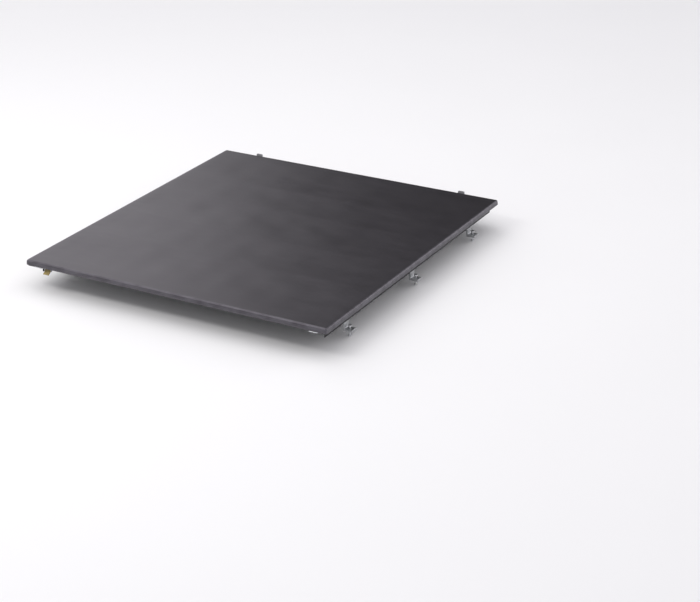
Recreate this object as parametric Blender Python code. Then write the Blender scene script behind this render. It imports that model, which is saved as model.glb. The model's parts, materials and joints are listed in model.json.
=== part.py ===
"""Soft roll-up tonneau cover for a pickup with a 5.5 ft bed.

The origin is the middle of the bed opening, in the plane of the bed-rail tops.
+X is the truck's right side, +Y points towards the cab and +Z points up. Metres.

The deck is vinyl. It is divided into strips that hinge along its top surface,
so that it rolls up over itself towards the cab with its underside outwards.
"""
import math

import bmesh
import bpy

# ---------------------------------------------------------------- driving dimensions
COVER_WIDTH = 1.620
COVER_LENGTH = 1.700
DECK_TOP = 0.030          # height of the vinyl above the bed rails
DECK_THICKNESS = 0.0025
GAP = 0.0003              # between pieces that touch
RAIL_WALL = 0.0025

# Roll
FIXED_DECK_LENGTH = 0.180  # part of the deck that stays flat on the header
STRIP_COUNT = 15
STRIP_TAPER = 0.0046       # each strip is this much shorter than the one before it
BOW_STRIPS = (2, 4, 7, 10)

# Side rails
SKIRT_ROOM = 0.0035        # from the cover's side to the rail's outer wall
RAIL_INNER_X = 0.762
RAIL_TOP = DECK_TOP - DECK_THICKNESS - 0.0005
RAIL_BASE = 0.002
RAIL_LEG_END = -0.045
SEAT_INNER_X = 0.744
SEAT_TOE_Z = 0.012
SEAT_BASE = 0.0095
RAIL_REAR_Y = -0.790
SHOULDER_RADIUS = 0.008

# Bows
BOW_WIDTH = 0.030
BOW_BASE = SEAT_TOE_Z + 0.0007
BOW_SEAT_GAP = 0.0009      # along the bow, from its slanted end to the rail's seat

# Front header
HEADER_DEPTH = 0.0495
HEADER_BASE = 0.003
HEADER_HALF_LENGTH = SEAT_INNER_X - 0.0005
HEADER_LIP_END = -0.020

# Rear bar and its latches
BAR_SETBACK = 0.002       # from the cover's rear edge to the bar
BAR_DEPTH = 0.042
BAR_BASE = 0.003
BAR_HALF_LENGTH = 0.757
BAR_WALL = 0.002
CAP_OUTER_X = 0.7615
LATCH_Y_FROM_REAR = 0.023
LATCH_Z = 0.0145
HOUSING_FOOT = 0.040
BOLT_RADIUS = 0.005
SHANK_RADIUS = 0.0025
HOUSING_INNER_X = 0.650
BOLT_SHOULDER_X = 0.700
BOLT_TIP_X = 0.762
SPRING_TURNS = 7
SPRING_WIRE_RADIUS = 0.0005

# Release lever, under the rear bar near the driver's side
LEVER_X = -0.690
LEVER_WIDTH = 0.032
LEVER_LENGTH = 0.026
LEVER_PIN_RADIUS = 0.002
LEVER_HUB_RADIUS = 0.0045
LEVER_PIN_Z = -0.006
LEVER_DROOP = math.radians(35.0)

# Clamps
CLAMP_YS = (-0.600, 0.020, 0.620)
CLAMP_PLACES = ("rear", "middle", "front")
CLAMP_WIDTH = 0.038
CLAMP_FOOT_TOP = -0.078
CLAMP_FOOT_BASE = -0.088
CLAMP_BOLT_X = 0.780
CLAMP_BOLT_RADIUS = 0.004
CLAMP_PAD_TOP = -0.060
CLAMP_HEAD_BASE = -0.112

# Storage straps and tension knobs
STRAP_X = 0.600
STRAP_WIDTH = 0.025
KNOB_X = 0.715
KNOB_Z = -0.012
KNOB_RADIUS = 0.019

# ---------------------------------------------------------------- worked out
HALF_WIDTH = COVER_WIDTH / 2
FRONT_Y = COVER_LENGTH / 2
REAR_Y = -COVER_LENGTH / 2
DECK_BASE = DECK_TOP - DECK_THICKNESS
RAIL_OUTER_X = HALF_WIDTH - SKIRT_ROOM
SEAT_SLOPE = (RAIL_TOP - SEAT_TOE_Z) / (RAIL_INNER_X - SEAT_INNER_X)
ROLL_START_Y = FRONT_Y - FIXED_DECK_LENGTH
ROLL_LENGTH = ROLL_START_Y - REAR_Y
FIRST_STRIP = ROLL_LENGTH / STRIP_COUNT + (STRIP_COUNT - 1) / 2 * STRIP_TAPER
STRIP_LENGTHS = [FIRST_STRIP - i * STRIP_TAPER for i in range(STRIP_COUNT)]
HINGE_YS = [ROLL_START_Y - sum(STRIP_LENGTHS[:i]) for i in range(STRIP_COUNT + 1)]
HEADER_FRONT_Y = FRONT_Y - SKIRT_ROOM
HEADER_REAR_Y = HEADER_FRONT_Y - HEADER_DEPTH
BAR_REAR_Y = REAR_Y + BAR_SETBACK
BAR_FRONT_Y = BAR_REAR_Y + BAR_DEPTH
BAR_TOP = DECK_BASE - GAP
LATCH_Y = REAR_Y + LATCH_Y_FROM_REAR
LEVER_PIN_Y = REAR_Y + 0.012
SIDES = (("left", -1), ("right", 1))

MODEL = "Tonneau_Cover"
CUTTERS = "Cutters"


# ---------------------------------------------------------------- scene and materials
def clear_scene():
    for obj in list(bpy.data.objects):
        bpy.data.objects.remove(obj, do_unlink=True)
    for collection in list(bpy.data.collections):
        bpy.data.collections.remove(collection)


def make_collection(name):
    collection = bpy.data.collections.new(name)
    bpy.context.scene.collection.children.link(collection)
    return collection


def make_material(name, colour, roughness, metallic):
    material = bpy.data.materials.new(name)
    material.use_nodes = True
    material.diffuse_color = (*colour, 1.0)
    shader = material.node_tree.nodes["Principled BSDF"]
    shader.inputs["Base Color"].default_value = (*colour, 1.0)
    shader.inputs["Roughness"].default_value = roughness
    shader.inputs["Metallic"].default_value = metallic
    return material


def make_materials():
    return {
        "vinyl": make_material("black_vinyl", (0.045, 0.045, 0.048), 0.55, 0.0),
        "rail": make_material("black_anodised", (0.030, 0.030, 0.032), 0.40, 0.8),
        "mill": make_material("mill_aluminium", (0.62, 0.63, 0.64), 0.35, 1.0),
        "plastic": make_material("black_plastic", (0.035, 0.035, 0.035), 0.50, 0.0),
        "rubber": make_material("seal_rubber", (0.020, 0.020, 0.020), 0.75, 0.0),
        "zinc": make_material("bright_zinc", (0.72, 0.73, 0.75), 0.25, 1.0),
        "yellow_zinc": make_material("yellow_zinc", (0.72, 0.60, 0.28), 0.30, 1.0),
        "webbing": make_material("strap_webbing", (0.030, 0.030, 0.032), 0.85, 0.0),
        "buckle": make_material("grey_buckle", (0.30, 0.30, 0.31), 0.45, 0.0),
    }


# ---------------------------------------------------------------- building blocks
def link(obj, material):
    bpy.data.collections[MODEL].objects.link(obj)
    obj.data.materials.append(material)
    return obj


def fillet(corner, before, after, radius, segments):
    """The arc of this radius that rounds off a corner of an outline."""
    to_before = math.atan2(before[1] - corner[1], before[0] - corner[0])
    to_after = math.atan2(after[1] - corner[1], after[0] - corner[0])
    turn = (to_after - to_before + math.pi) % (2 * math.pi) - math.pi
    half = abs(turn) / 2
    reach = radius / math.sin(half)
    middle = to_before + turn / 2
    centre_u = corner[0] + reach * math.cos(middle)
    centre_v = corner[1] + reach * math.sin(middle)
    sweep = (math.pi - 2 * half) * (-1 if turn > 0 else 1)
    start = to_before + (-math.pi / 2 if turn > 0 else math.pi / 2)
    angles = [start + sweep * i / segments for i in range(segments + 1)]
    return [(centre_u + radius * math.cos(a), centre_v + radius * math.sin(a)) for a in angles]


def outline(corners, segments=4):
    """Points of a closed outline from corners (u, v) or (u, v, radius)."""
    points = []
    for i, corner in enumerate(corners):
        if len(corner) == 2:
            points.append(corner)
            continue
        before = corners[i - 1]
        after = corners[(i + 1) % len(corners)]
        points += fillet(corner, before, after, corner[2], segments)
    return points


def rectangle(low_u, high_u, low_v, high_v, radius=0.0):
    corners = [(low_u, low_v), (high_u, low_v), (high_u, high_v), (low_u, high_v)]
    if radius == 0.0:
        return outline(corners)
    return outline([(u, v, radius) for u, v in corners])


def circle(centre_u, centre_v, radius, segments=24):
    angles = [2 * math.pi * i / segments for i in range(segments)]
    return [(centre_u + radius * math.cos(a), centre_v + radius * math.sin(a)) for a in angles]


# How an outline's (u, v) plane lies in the world, by the axis it is extruded along
TURNS = {
    "X": (math.pi / 2, 0.0, math.pi / 2),   # u is +Y, v is +Z
    "Y": (math.pi / 2, 0.0, 0.0),           # u is +X, v is +Z
    "Z": (0.0, 0.0, 0.0),                   # u is +X, v is +Y
}
AXIS_INDEX = {"X": 0, "Y": 1, "Z": 2}


def extrusion(name, outlines, axis, low, high, material):
    """An outline, with its holes, drawn out along an axis from low to high."""
    curve = bpy.data.curves.new(name, "CURVE")
    curve.dimensions = "2D"
    curve.fill_mode = "BOTH"
    curve.extrude = (high - low) / 2
    for points in outlines:
        spline = curve.splines.new("POLY")
        spline.points.add(len(points) - 1)
        for point, (u, v) in zip(spline.points, points):
            point.co = (u, v, 0.0, 1.0)
        spline.use_cyclic_u = True
    obj = link(bpy.data.objects.new(name, curve), material)
    obj.rotation_euler = TURNS[axis]
    obj.location[AXIS_INDEX[axis]] = (low + high) / 2
    return obj


def as_mesh(obj):
    """The same piece as a closed mesh, so that it can be cut or joined."""
    bpy.context.view_layer.update()
    graph = bpy.context.evaluated_depsgraph_get()
    mesh = bpy.data.meshes.new_from_object(obj.evaluated_get(graph))
    edit = bmesh.new()
    edit.from_mesh(mesh)
    bmesh.ops.remove_doubles(edit, verts=edit.verts, dist=1e-6)
    edit.to_mesh(mesh)
    edit.free()
    name = obj.name
    matrix = obj.matrix_world.copy()
    collections = list(obj.users_collection)
    bpy.data.objects.remove(obj, do_unlink=True)
    result = bpy.data.objects.new(name, mesh)
    result.matrix_world = matrix
    for collection in collections:
        collection.objects.link(result)
    return result


def box(name, low, high, material):
    mesh = bpy.data.meshes.new(name)
    edit = bmesh.new()
    bmesh.ops.create_cube(edit, size=1.0)
    size = [b - a for a, b in zip(low, high)]
    bmesh.ops.scale(edit, vec=size, verts=edit.verts)
    edit.to_mesh(mesh)
    edit.free()
    obj = link(bpy.data.objects.new(name, mesh), material)
    obj.location = [(a + b) / 2 for a, b in zip(low, high)]
    return obj


def cylinder(name, radius, axis, low, high, centre, material, segments=24):
    """A round bar along an axis from low to high; centre gives its other two coordinates."""
    mesh = bpy.data.meshes.new(name)
    edit = bmesh.new()
    bmesh.ops.create_cone(edit, cap_ends=True, segments=segments, radius1=radius,
                          radius2=radius, depth=high - low)
    edit.to_mesh(mesh)
    edit.free()
    mesh.shade_smooth()
    mesh.set_sharp_from_angle(angle=math.radians(40))
    obj = link(bpy.data.objects.new(name, mesh), material)
    place = list(centre)
    place.insert(AXIS_INDEX[axis], (low + high) / 2)
    obj.location = place
    obj.rotation_euler = {"X": (0, math.pi / 2, 0), "Y": (math.pi / 2, 0, 0), "Z": (0, 0, 0)}[axis]
    return obj


def combine(obj, other, operation):
    """Cuts obj by other, or joins other to it, and hides other among the cutters."""
    bpy.data.collections[MODEL].objects.unlink(other)
    bpy.data.collections[CUTTERS].objects.link(other)
    other.hide_render = True
    other.display_type = "WIRE"
    modifier = obj.modifiers.new(other.name, "BOOLEAN")
    modifier.operation = operation
    modifier.object = other


def attach(child, parent):
    """Parents a piece without moving it."""
    bpy.context.view_layer.update()
    child.parent = parent
    child.matrix_parent_inverse = parent.matrix_world.inverted()


def make_empty(name, location, parent=None):
    empty = bpy.data.objects.new(name, None)
    empty.empty_display_size = 0.05
    bpy.data.collections[MODEL].objects.link(empty)
    empty.location = location
    if parent:
        attach(empty, parent)
    return empty


def mirrored(points, side):
    """An outline in X and something else, flipped to the left side when side is -1."""
    return [(side * p[0], *p[1:]) for p in points]


def ordered(low, high):
    return (low, high) if low < high else (high, low)


# ---------------------------------------------------------------- fixed frame
def side_rail(name, side, materials):
    """A box extrusion that the deck lies on, with a slanted seat for the bows and a leg for the clamps."""
    outer = [
        (RAIL_INNER_X, RAIL_LEG_END),
        (RAIL_INNER_X + RAIL_WALL, RAIL_LEG_END),
        (RAIL_INNER_X + RAIL_WALL, RAIL_BASE),
        (RAIL_OUTER_X, RAIL_BASE),
        (RAIL_OUTER_X, RAIL_TOP, SHOULDER_RADIUS),
        (RAIL_INNER_X, RAIL_TOP),
        (SEAT_INNER_X, SEAT_TOE_Z),
        (SEAT_INNER_X, SEAT_BASE),
        (RAIL_INNER_X, SEAT_BASE),
    ]
    box_hollow = [
        (RAIL_INNER_X + RAIL_WALL, RAIL_BASE + RAIL_WALL),
        (RAIL_OUTER_X - RAIL_WALL, RAIL_BASE + RAIL_WALL),
        (RAIL_OUTER_X - RAIL_WALL, RAIL_TOP - RAIL_WALL, SHOULDER_RADIUS - RAIL_WALL),
        (RAIL_INNER_X + RAIL_WALL, RAIL_TOP - RAIL_WALL),
    ]
    ceiling = RAIL_TOP - RAIL_WALL * math.hypot(1.0, SEAT_SLOPE)
    seat_hollow = [
        (RAIL_INNER_X, SEAT_TOE_Z),
        (RAIL_INNER_X, ceiling),
        (RAIL_INNER_X - (ceiling - SEAT_TOE_Z) / SEAT_SLOPE, SEAT_TOE_Z),
    ]
    shapes = [outline(mirrored(points, side)) for points in (outer, box_hollow, seat_hollow)]
    extrusion(name, shapes, "Y", RAIL_REAR_Y, HEADER_FRONT_Y, materials["rail"])


def side_seal(name, side, materials):
    seal = [(0.772, 0.0, 0.0005), (0.798, 0.0, 0.0005), (0.798, 0.0017), (0.772, 0.0017)]
    extrusion(name, [outline(mirrored(seal, side), 2)], "Y", RAIL_REAR_Y + 0.002,
              HEADER_FRONT_Y - 0.002, materials["rubber"])


def rail_end(name, side, materials):
    """The casting that closes the rail's rear end and holds the latch bolt's socket."""
    inner = CAP_OUTER_X + 0.001
    rear = REAR_Y + SKIRT_ROOM
    plan = [(inner, rear, 0.003), (RAIL_OUTER_X, rear, 0.010), (RAIL_OUTER_X, RAIL_REAR_Y - GAP),
            (inner, RAIL_REAR_Y - GAP)]
    obj = as_mesh(extrusion(name, [outline(mirrored(plan, side))], "Z", 0.0, RAIL_TOP,
                            materials["plastic"]))
    low, high = ordered(side * (inner - 0.001), side * (inner + 0.022))
    socket = cylinder(name + "_socket", BOLT_RADIUS + 0.001, "X", low, high, (LATCH_Y, LATCH_Z),
                      materials["plastic"])
    combine(obj, socket, "DIFFERENCE")


def front_header(materials):
    outer = [
        (HEADER_REAR_Y, HEADER_LIP_END),
        (HEADER_REAR_Y + RAIL_WALL, HEADER_LIP_END),
        (HEADER_REAR_Y + RAIL_WALL, HEADER_BASE),
        (HEADER_FRONT_Y, HEADER_BASE),
        (HEADER_FRONT_Y, RAIL_TOP, SHOULDER_RADIUS),
        (HEADER_REAR_Y, RAIL_TOP),
    ]
    hollow = [
        (HEADER_REAR_Y + RAIL_WALL, HEADER_BASE + RAIL_WALL),
        (HEADER_FRONT_Y - RAIL_WALL, HEADER_BASE + RAIL_WALL),
        (HEADER_FRONT_Y - RAIL_WALL, RAIL_TOP - RAIL_WALL, SHOULDER_RADIUS - RAIL_WALL),
        (HEADER_REAR_Y + RAIL_WALL, RAIL_TOP - RAIL_WALL),
    ]
    extrusion("front_header", [outline(outer), outline(hollow)], "X", -HEADER_HALF_LENGTH,
              HEADER_HALF_LENGTH, materials["rail"])


def header_seal(materials):
    seal = [(HEADER_REAR_Y + 0.006, 0.0, 0.001), (HEADER_FRONT_Y - 0.006, 0.0, 0.001),
            (HEADER_FRONT_Y - 0.006, HEADER_BASE - GAP), (HEADER_REAR_Y + 0.006, HEADER_BASE - GAP)]
    extrusion("header_seal", [outline(seal, 2)], "X", -HEADER_HALF_LENGTH, HEADER_HALF_LENGTH,
              materials["rubber"])


def header_corner(name, side, materials):
    """The angle bracket that joins the header to a side rail."""
    outer_x = RAIL_INNER_X - GAP
    front_y = HEADER_REAR_Y - GAP
    wall = 0.0032
    plan = [
        (outer_x, front_y - 0.076),
        (outer_x, front_y),
        (outer_x - 0.076, front_y),
        (outer_x - 0.076, front_y - wall),
        (outer_x - wall, front_y - wall, 0.010),
        (outer_x - wall, front_y - 0.076),
    ]
    extrusion(name, [outline(mirrored(plan, side))], "Z", -0.030, SEAT_BASE - GAP,
              materials["mill"])


def tension_knob(name, side, materials):
    """A lobed hand knob on its threaded stud, which draws the header forward."""
    front = HEADER_REAR_Y - GAP - 0.0032 - GAP
    lobes = 6
    angles = [2 * math.pi * i / 48 for i in range(48)]
    rim = [KNOB_RADIUS * (1 + 0.08 * math.cos(lobes * a)) for a in angles]
    star = [(r * math.cos(a), r * math.sin(a)) for r, a in zip(rim, angles)]
    obj = as_mesh(extrusion(name, [star], "Y", -0.007, 0.007, materials["plastic"]))
    obj.location = (side * KNOB_X, front - 0.030, KNOB_Z)
    stud = cylinder(name + "_stud", 0.004, "Y", front - 0.026, front, (side * KNOB_X, KNOB_Z),
                    materials["zinc"], 16)
    combine(obj, stud, "UNION")


def clamp(name, side, y, materials):
    """A bracket behind the rail's leg with a foot that reaches under the bed rail's flange."""
    spine_inner = RAIL_INNER_X - 0.0085
    spine_outer = RAIL_INNER_X - 0.0005
    profile = [
        (spine_inner, CLAMP_FOOT_BASE, 0.004),
        (0.800, CLAMP_FOOT_BASE, 0.002),
        (0.800, CLAMP_FOOT_TOP),
        (spine_outer, CLAMP_FOOT_TOP, 0.005),
        (spine_outer, -0.004),
        (spine_inner, -0.004, 0.003),
    ]
    obj = as_mesh(extrusion(name, [outline(mirrored(profile, side))], "Y", y - CLAMP_WIDTH / 2,
                            y + CLAMP_WIDTH / 2, materials["mill"]))
    hole = cylinder(name + "_hole", CLAMP_BOLT_RADIUS + GAP, "Z", CLAMP_FOOT_BASE - 0.005,
                    CLAMP_FOOT_TOP + 0.005, (side * CLAMP_BOLT_X, y), materials["mill"])
    combine(obj, hole, "DIFFERENCE")


def clamp_bolt(name, side, y, materials):
    """A hex-headed screw with a round pad, tightened up against the bed rail's flange."""
    place = (side * CLAMP_BOLT_X, y)
    obj = cylinder(name, CLAMP_BOLT_RADIUS, "Z", CLAMP_HEAD_BASE + 0.004, CLAMP_PAD_TOP - 0.002,
                   place, materials["zinc"], 16)
    head = cylinder(name + "_head", 0.0075, "Z", CLAMP_HEAD_BASE, CLAMP_HEAD_BASE + 0.006, place,
                    materials["zinc"], 6)
    pad = cylinder(name + "_pad", 0.009, "Z", CLAMP_PAD_TOP - 0.005, CLAMP_PAD_TOP, place,
                   materials["zinc"])
    combine(obj, head, "UNION")
    combine(obj, pad, "UNION")


def storage_strap(name, side, materials):
    """The short webbing strap screwed to the header's front face."""
    x = side * STRAP_X
    box(name, (x - STRAP_WIDTH / 2, FRONT_Y + 0.0025, -0.020),
        (x + STRAP_WIDTH / 2, FRONT_Y + 0.0041, 0.0115), materials["webbing"])


def strap_buckle(name, side, materials):
    """The female half of a side-release buckle, standing at the header's front edge."""
    x = side * STRAP_X
    body = rectangle(x - 0.017, x + 0.017, 0.012, 0.035, 0.004)
    slot = rectangle(x - 0.0128, x + 0.0128, 0.0145, 0.0165)
    obj = as_mesh(extrusion(name, [body, slot], "Y", FRONT_Y + 0.0018, FRONT_Y + 0.0098,
                            materials["buckle"]))
    mouth = box(name + "_mouth", (x - 0.0110, FRONT_Y + 0.0038, 0.022),
                (x + 0.0110, FRONT_Y + 0.0078, 0.040), materials["buckle"])
    combine(obj, mouth, "DIFFERENCE")


# ---------------------------------------------------------------- deck
def deck_strip(name, low_y, high_y, materials):
    return box(name, (-HALF_WIDTH, low_y, DECK_BASE), (HALF_WIDTH, high_y, DECK_TOP),
               materials["vinyl"])


def bow_end(z):
    """How far out a bow reaches at this height."""
    return SEAT_INNER_X + (z - SEAT_TOE_Z) / SEAT_SLOPE - BOW_SEAT_GAP


def bow(name, y, materials):
    """A hollow cross slat under the vinyl; its slanted ends rest on the rails' seats."""
    top = DECK_BASE - GAP
    wall = 0.0018
    outer = rectangle(y - BOW_WIDTH / 2, y + BOW_WIDTH / 2, BOW_BASE, top, 0.003)
    hollow = rectangle(y - BOW_WIDTH / 2 + wall, y + BOW_WIDTH / 2 - wall, BOW_BASE + wall,
                       top - wall)
    slat = as_mesh(extrusion(name, [outer, hollow], "X", -RAIL_INNER_X, RAIL_INNER_X,
                             materials["mill"]))
    low_z = BOW_BASE - 0.001
    high_z = top + 0.001
    for side in (-1, 1):
        seat = [
            (bow_end(low_z), low_z),
            (RAIL_INNER_X + 0.002, low_z),
            (RAIL_INNER_X + 0.002, high_z),
            (bow_end(high_z), high_z),
        ]
        cutter = as_mesh(extrusion(f"{name}_end", [outline(mirrored(seat, side))], "Y",
                                   y - BOW_WIDTH, y + BOW_WIDTH, materials["mill"]))
        combine(slat, cutter, "DIFFERENCE")
    return slat


def rolling_deck(materials):
    """The hinged strips, each on an empty at its hinge, and the bows under them."""
    hinge = None
    for number in range(1, STRIP_COUNT + 1):
        front = HINGE_YS[number - 1]
        rear = HINGE_YS[number]
        hinge = make_empty(f"hinge_{number:02d}", (0.0, front, DECK_TOP), hinge)
        last = number == STRIP_COUNT
        strip = deck_strip(f"deck_strip_{number:02d}", rear + (0.0 if last else GAP / 2),
                           front - GAP / 2, materials)
        attach(strip, hinge)
        if number in BOW_STRIPS:
            slat = bow(f"bow_{BOW_STRIPS.index(number) + 1}", (front + rear) / 2, materials)
            attach(slat, hinge)
    return hinge


# ---------------------------------------------------------------- rear bar and latches
def rear_bar(materials):
    outer = [
        (BAR_REAR_Y, BAR_BASE, 0.003),
        (BAR_FRONT_Y, BAR_BASE, 0.002),
        (BAR_FRONT_Y, BAR_TOP, 0.002),
        (BAR_REAR_Y, BAR_TOP, 0.006),
    ]
    hollow = rectangle(BAR_REAR_Y + BAR_WALL, BAR_FRONT_Y - BAR_WALL, BAR_BASE + BAR_WALL,
                       BAR_TOP - BAR_WALL, 0.001)
    return extrusion("rear_bar", [outline(outer), hollow], "X", -BAR_HALF_LENGTH, BAR_HALF_LENGTH,
                     materials["rail"])


def rear_bar_seal(materials):
    seal = [(LATCH_Y - 0.0015, 0.0, 0.001), (BAR_FRONT_Y - 0.003, 0.0, 0.001),
            (BAR_FRONT_Y - 0.003, BAR_BASE - GAP), (LATCH_Y - 0.0015, BAR_BASE - GAP)]
    reach = BAR_HALF_LENGTH - HOUSING_FOOT - 0.002
    return extrusion("rear_bar_seal", [outline(seal, 2)], "X", -reach, reach, materials["rubber"])


def latch_housing(name, side, materials):
    """The bar's end cap, with a foot under the bar and a cradle in it for the bolt and spring."""
    cap_inner = BAR_HALF_LENGTH + GAP
    inside = BAR_WALL + 0.0005
    rear, front = BAR_REAR_Y + inside, BAR_FRONT_Y - inside
    floor, ceiling = BAR_BASE + inside, BAR_TOP - inside

    def span(a, b):
        return ordered(side * a, side * b)

    foot_base, foot_top = -0.001, BAR_BASE - GAP
    cap = rectangle(BAR_REAR_Y, BAR_FRONT_Y, foot_base - 0.0004, BAR_TOP, 0.002)
    low, high = span(cap_inner, CAP_OUTER_X)
    obj = as_mesh(extrusion(name, [cap, circle(LATCH_Y, LATCH_Z, BOLT_RADIUS + GAP)], "X", low, high,
                            materials["zinc"]))
    low, high = span(CAP_OUTER_X - HOUSING_FOOT, cap_inner + 0.001)
    foot = box(name + "_foot", (low, BAR_REAR_Y - 0.001, foot_base),
               (high, BAR_FRONT_Y - 0.004, foot_top), materials["zinc"])
    low, high = span(HOUSING_INNER_X, cap_inner + 0.001)
    cradle = box(name + "_floor", (low, rear, floor), (high, front, floor + 0.0016),
                 materials["zinc"])
    low, high = span(HOUSING_INNER_X, HOUSING_INNER_X + 0.003)
    stop = as_mesh(extrusion(name + "_stop", [rectangle(rear, front, floor, ceiling),
                                              circle(LATCH_Y, LATCH_Z, SHANK_RADIUS + GAP, 16)],
                             "X", low, high, materials["zinc"]))
    combine(obj, foot, "UNION")
    combine(obj, cradle, "UNION")
    combine(obj, stop, "UNION")
    return obj


def latch_bolt(name, side, materials):
    """A round bolt on a thin shank; the spring sits behind its shoulder."""
    low, high = ordered(side * BOLT_SHOULDER_X, side * BOLT_TIP_X)
    obj = cylinder(name, BOLT_RADIUS, "X", low, high, (LATCH_Y, LATCH_Z), materials["zinc"])
    low, high = ordered(side * (HOUSING_INNER_X - 0.006), side * (BOLT_SHOULDER_X + 0.002))
    shank = cylinder(name + "_shank", SHANK_RADIUS, "X", low, high, (LATCH_Y, LATCH_Z),
                     materials["zinc"], 16)
    combine(obj, shank, "UNION")
    return obj


def latch_spring(name, side, materials):
    """A coil around the shank, between the housing's stop and the bolt's shoulder."""
    start = HOUSING_INNER_X + 0.003 + SPRING_WIRE_RADIUS + GAP
    end = BOLT_SHOULDER_X - SPRING_WIRE_RADIUS - GAP
    steps = SPRING_TURNS * 10
    coil_radius = 0.0042
    curve = bpy.data.curves.new(name, "CURVE")
    curve.dimensions = "3D"
    curve.bevel_depth = SPRING_WIRE_RADIUS
    curve.bevel_resolution = 2
    curve.use_fill_caps = True
    spline = curve.splines.new("POLY")
    spline.points.add(steps)
    for i, point in enumerate(spline.points):
        angle = 2 * math.pi * SPRING_TURNS * i / steps
        x = side * (start + (end - start) * i / steps)
        point.co = (x, coil_radius * math.cos(angle), coil_radius * math.sin(angle), 1.0)
    obj = link(bpy.data.objects.new(name, curve), materials["mill"])
    obj.location = (0.0, LATCH_Y, LATCH_Z)
    return obj


def pull_rod(materials):
    """The rod that carries the lever's pull along the bar to the far bolt."""
    return cylinder("pull_rod", 0.0015, "X", -0.615, HOUSING_INNER_X - 0.0063, (LATCH_Y, LATCH_Z),
                    materials["mill"], 12)


def lever_bracket(materials):
    """A base plate under the bar with two lugs that hold the lever's pin."""
    lug_inner = LEVER_WIDTH / 2 + 0.0010
    lug_outer = lug_inner + 0.0020
    top = BAR_BASE - GAP
    base = box("lever_bracket", (LEVER_X - 0.024, LEVER_PIN_Y - 0.006, top - 0.0020),
               (LEVER_X + 0.024, LEVER_PIN_Y + 0.0085, top), materials["mill"])
    for side_name, side in SIDES:
        low, high = ordered(LEVER_X + side * lug_inner, LEVER_X + side * lug_outer)
        plate = [(LEVER_PIN_Y - 0.005, LEVER_PIN_Z - 0.0045, 0.003),
                 (LEVER_PIN_Y + 0.005, LEVER_PIN_Z - 0.0045, 0.003),
                 (LEVER_PIN_Y + 0.005, top - 0.001), (LEVER_PIN_Y - 0.005, top - 0.001)]
        bore = circle(LEVER_PIN_Y, LEVER_PIN_Z, LEVER_PIN_RADIUS + GAP / 2, 20)
        lug = as_mesh(extrusion("lever_lug_" + side_name, [outline(plate), bore], "X", low, high,
                                materials["mill"]))
        combine(base, lug, "UNION")
    return base


def lever_pin(materials):
    reach = LEVER_WIDTH / 2 + 0.0045
    return cylinder("lever_pin", LEVER_PIN_RADIUS, "X", LEVER_X - reach, LEVER_X + reach,
                    (LEVER_PIN_Y, LEVER_PIN_Z), materials["zinc"], 20)


def release_lever(materials):
    """A pressed paddle on a hub, pulled back and up to draw both latch bolts."""
    hub = cylinder("release_lever", LEVER_HUB_RADIUS, "X", LEVER_X - LEVER_WIDTH / 2,
                   LEVER_X + LEVER_WIDTH / 2, (LEVER_PIN_Y, LEVER_PIN_Z), materials["yellow_zinc"])
    paddle = box("lever_paddle", (-LEVER_WIDTH / 2, -LEVER_LENGTH, -0.00125),
                 (LEVER_WIDTH / 2, -LEVER_HUB_RADIUS + 0.0015, 0.00125), materials["yellow_zinc"])
    centre = (-LEVER_LENGTH - LEVER_HUB_RADIUS + 0.0015) / 2
    paddle.rotation_euler = (LEVER_DROOP, 0, 0)
    paddle.location = (LEVER_X, LEVER_PIN_Y + centre * math.cos(LEVER_DROOP),
                       LEVER_PIN_Z + centre * math.sin(LEVER_DROOP))
    bore = cylinder("lever_bore", LEVER_PIN_RADIUS + 0.0002, "X", LEVER_X - LEVER_WIDTH,
                    LEVER_X + LEVER_WIDTH, (LEVER_PIN_Y, LEVER_PIN_Z), materials["yellow_zinc"], 20)
    combine(hub, paddle, "UNION")
    combine(hub, bore, "DIFFERENCE")
    return hub


def rear_end(hinge, materials):
    """Everything that rides on the last strip."""
    pieces = [rear_bar(materials), rear_bar_seal(materials), lever_bracket(materials),
              lever_pin(materials)]
    for side_name, side in SIDES:
        pieces.append(latch_housing("latch_housing_" + side_name, side, materials))
        pieces.append(latch_bolt("latch_bolt_" + side_name, side, materials))
        pieces.append(latch_spring("latch_spring_" + side_name, side, materials))
    rod = pull_rod(materials)
    attach(rod, bpy.data.objects["latch_bolt_right"])
    pieces.append(release_lever(materials))
    for piece in pieces:
        attach(piece, hinge)


# ---------------------------------------------------------------- assembly
def fixed_frame(materials):
    for side_name, side in SIDES:
        side_rail("side_rail_" + side_name, side, materials)
        side_seal("side_seal_" + side_name, side, materials)
        rail_end("rail_end_" + side_name, side, materials)
        header_corner("header_corner_" + side_name, side, materials)
        tension_knob("tension_knob_" + side_name, side, materials)
        storage_strap("storage_strap_" + side_name, side, materials)
        strap_buckle("strap_buckle_" + side_name, side, materials)
        for place, y in zip(CLAMP_PLACES, CLAMP_YS):
            clamp(f"clamp_{side_name}_{place}", side, y, materials)
            clamp_bolt(f"clamp_bolt_{side_name}_{place}", side, y, materials)
    front_header(materials)
    header_seal(materials)
    deck_strip("deck_front", ROLL_START_Y + GAP / 2, FRONT_Y, materials)


def main():
    clear_scene()
    make_collection(MODEL)
    make_collection(CUTTERS)
    materials = make_materials()
    fixed_frame(materials)
    last_hinge = rolling_deck(materials)
    rear_end(last_hinge, materials)


main()
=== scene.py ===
import json
import math

import bpy
import numpy as np
from mathutils import Matrix, Vector


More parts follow.
